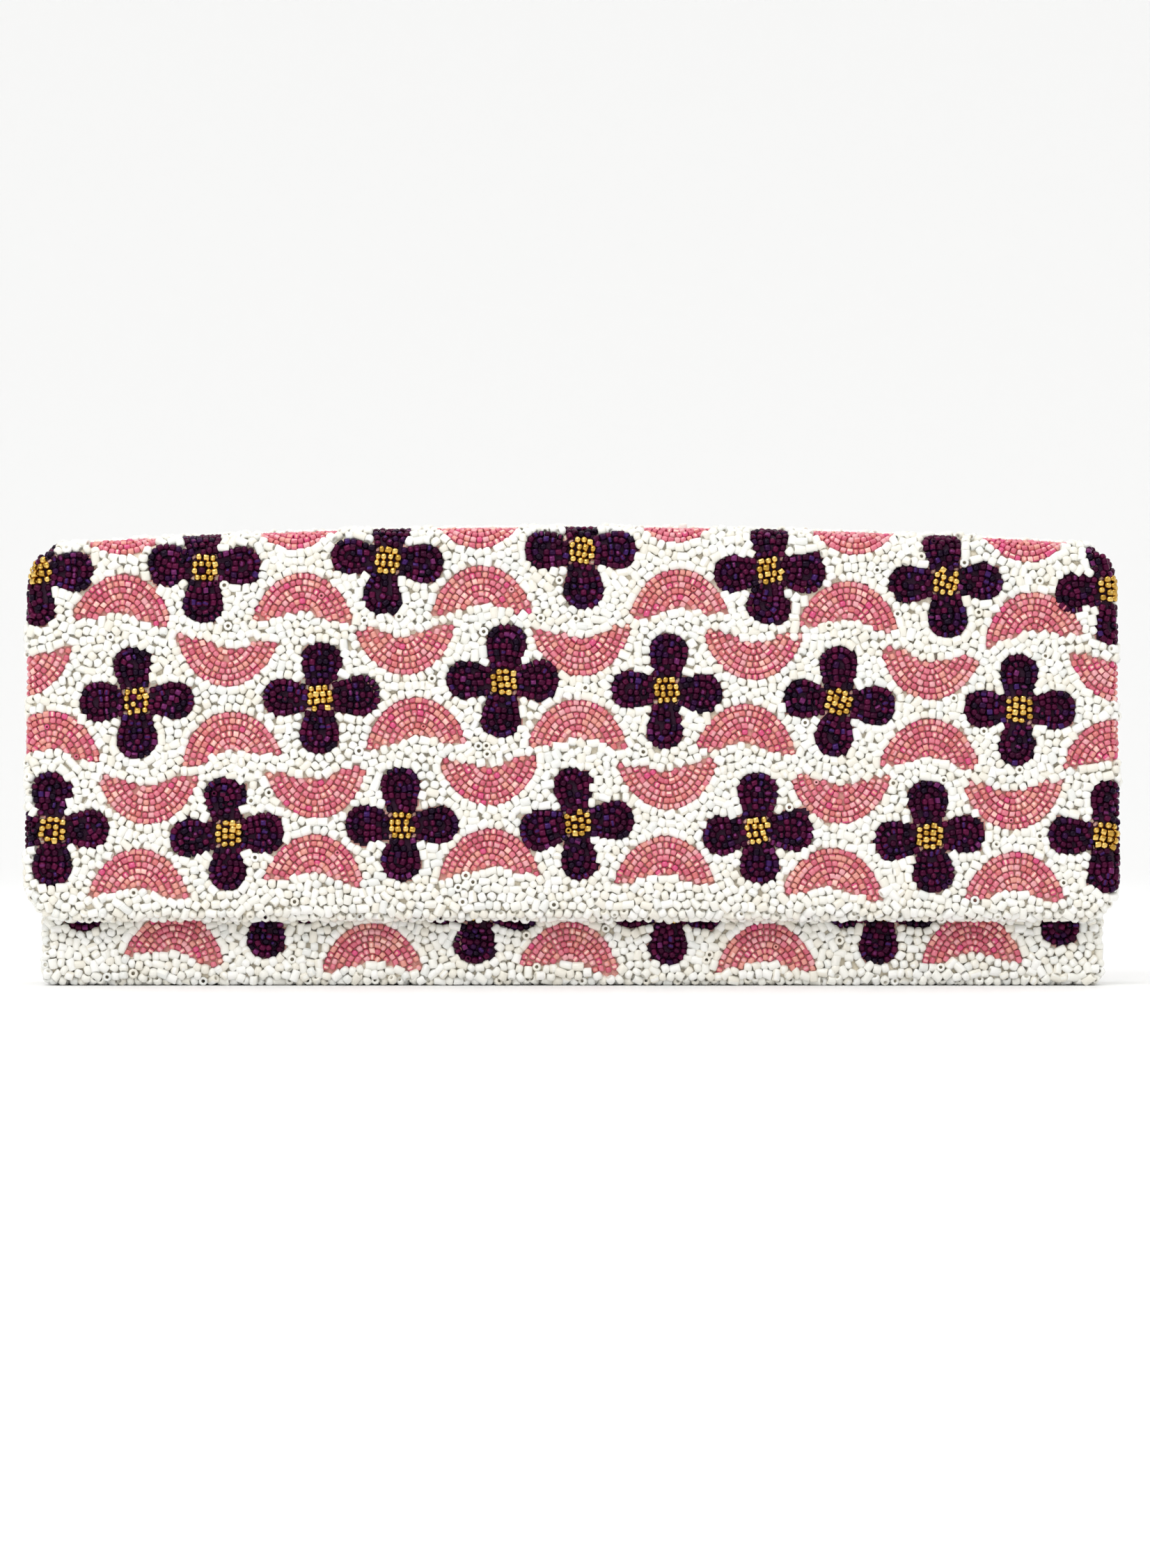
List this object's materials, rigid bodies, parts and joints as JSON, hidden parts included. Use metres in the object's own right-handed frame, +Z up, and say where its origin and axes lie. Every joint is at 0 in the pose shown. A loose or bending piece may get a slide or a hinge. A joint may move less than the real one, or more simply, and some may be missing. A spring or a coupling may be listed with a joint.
{
  "type": "clutch purse",
  "caption": "Long flat evening clutch with a fold-over flap, covered all over in glass beadwork with flowers and half-moons, hidden magnetic snap.",
  "frame": {"origin": "middle of the bounding box's base, on the surface that the bag stands on", "axes": "+X along the bag's width, +Z up, and the flap's face towards -Y"},
  "size_m": [0.29, 0.0416, 0.122],
  "materials": {
    "beadwork": "pearl glass seed beads sewn close together, with purple, rose and gold motifs",
    "base_cloth": "plain cotton, beige",
    "lining_satin": "satin, champagne",
    "wadding": "soft non-woven wadding",
    "stiffener_board": "matt bag board",
    "snap_metal": "polished, pale gold",
    "snap_steel": "plated sheet steel",
    "magnet": "matt ferrite"
  },
  "bodies": {
    "bag": {"front_beadwork": "beadwork", "back_beadwork": "beadwork", "base_beadwork": "beadwork", "left_gusset_beadwork": "beadwork", "right_gusset_beadwork": "beadwork", "front_cloth": "base_cloth", "back_cloth": "base_cloth", "base_cloth": "base_cloth", "left_gusset_cloth": "base_cloth", "right_gusset_cloth": "base_cloth", "front_stiffener": "stiffener_board", "back_stiffener": "stiffener_board", "base_board": "stiffener_board", "lining": "lining_satin", "slip_pocket": "lining_satin", "socket_plate": "snap_steel", "snap_magnet": "magnet", "socket_cover": "snap_metal", "socket_washer": "snap_steel"},
    "spine": {"spine_beadwork": "beadwork", "spine_cloth": "base_cloth", "spine_padding": "wadding", "spine_lining": "lining_satin"},
    "flap": {"flap_beadwork": "beadwork", "flap_cloth": "base_cloth", "flap_padding": "wadding", "flap_stiffener": "stiffener_board", "flap_lining": "lining_satin", "snap_stud": "snap_metal", "stud_washer": "snap_steel"}
  },
  "joints": [
    {"name": "spine_fold", "type": "hinge", "parent": "bag", "child": "spine", "pos_m": [0, 0.00928, 0.11844], "axis": [-1, 0, 0], "range_deg": [0, 120]},
    {"name": "flap_fold", "type": "hinge", "parent": "spine", "child": "flap", "pos_m": [0, -0.01058, 0.11844], "axis": [-1, 0, 0], "range_deg": [0, 95]}
  ]
}
